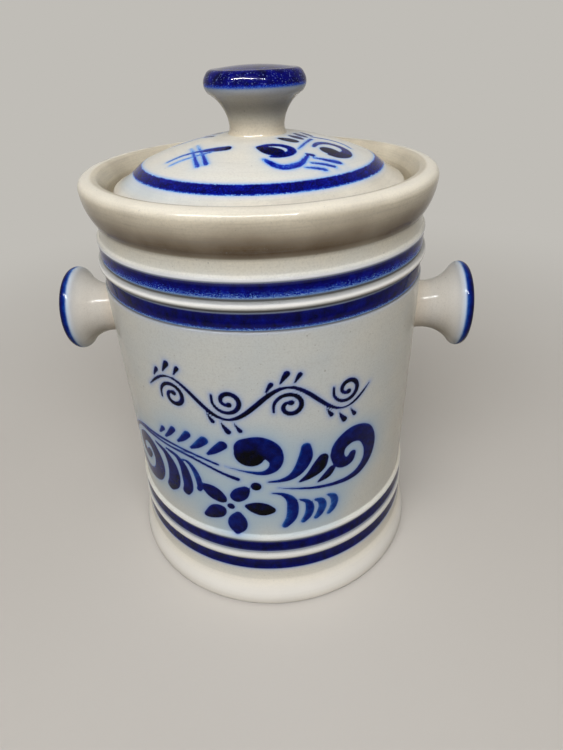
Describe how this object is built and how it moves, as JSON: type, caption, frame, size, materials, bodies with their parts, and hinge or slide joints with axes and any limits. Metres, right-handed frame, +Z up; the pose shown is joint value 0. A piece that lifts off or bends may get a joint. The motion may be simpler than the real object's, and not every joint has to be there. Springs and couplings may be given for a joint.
{
  "type": "stoneware crock",
  "caption": "Salt-glazed stoneware crock with trumpet-shaped side knobs, blue painted bands and spray, and a domed lid that drops into a gallery inside its thick collar.",
  "frame": {"origin": "centre of the foot, on the face that the crock rests on", "axes": "+Z up through the lid's knob; the two side knobs lie on the X axis; the painted front faces -Y"},
  "size_m": [0.24, 0.1932, 0.2871],
  "materials": {
    "salt_glazed_stoneware": "pale grey salt glaze with cobalt blue bands and brushwork, satin gloss with a fine orange-peel skin",
    "knob_stoneware": "pale grey salt glaze, the outer end dipped in cobalt blue",
    "lid_stoneware": "off-white salt glaze with a cobalt blue stripe and brushwork"
  },
  "bodies": {
    "crock": {"crock": "salt_glazed_stoneware", "side_knob_left": "knob_stoneware", "side_knob_right": "knob_stoneware"},
    "lid": {"lid": "lid_stoneware", "lid_knob": "knob_stoneware"}
  },
  "joints": [
    {"name": "lid_lift", "type": "slide", "parent": "crock", "child": "lid", "axis": [0, 0, 1], "range_m": [0, 0.12]}
  ]
}
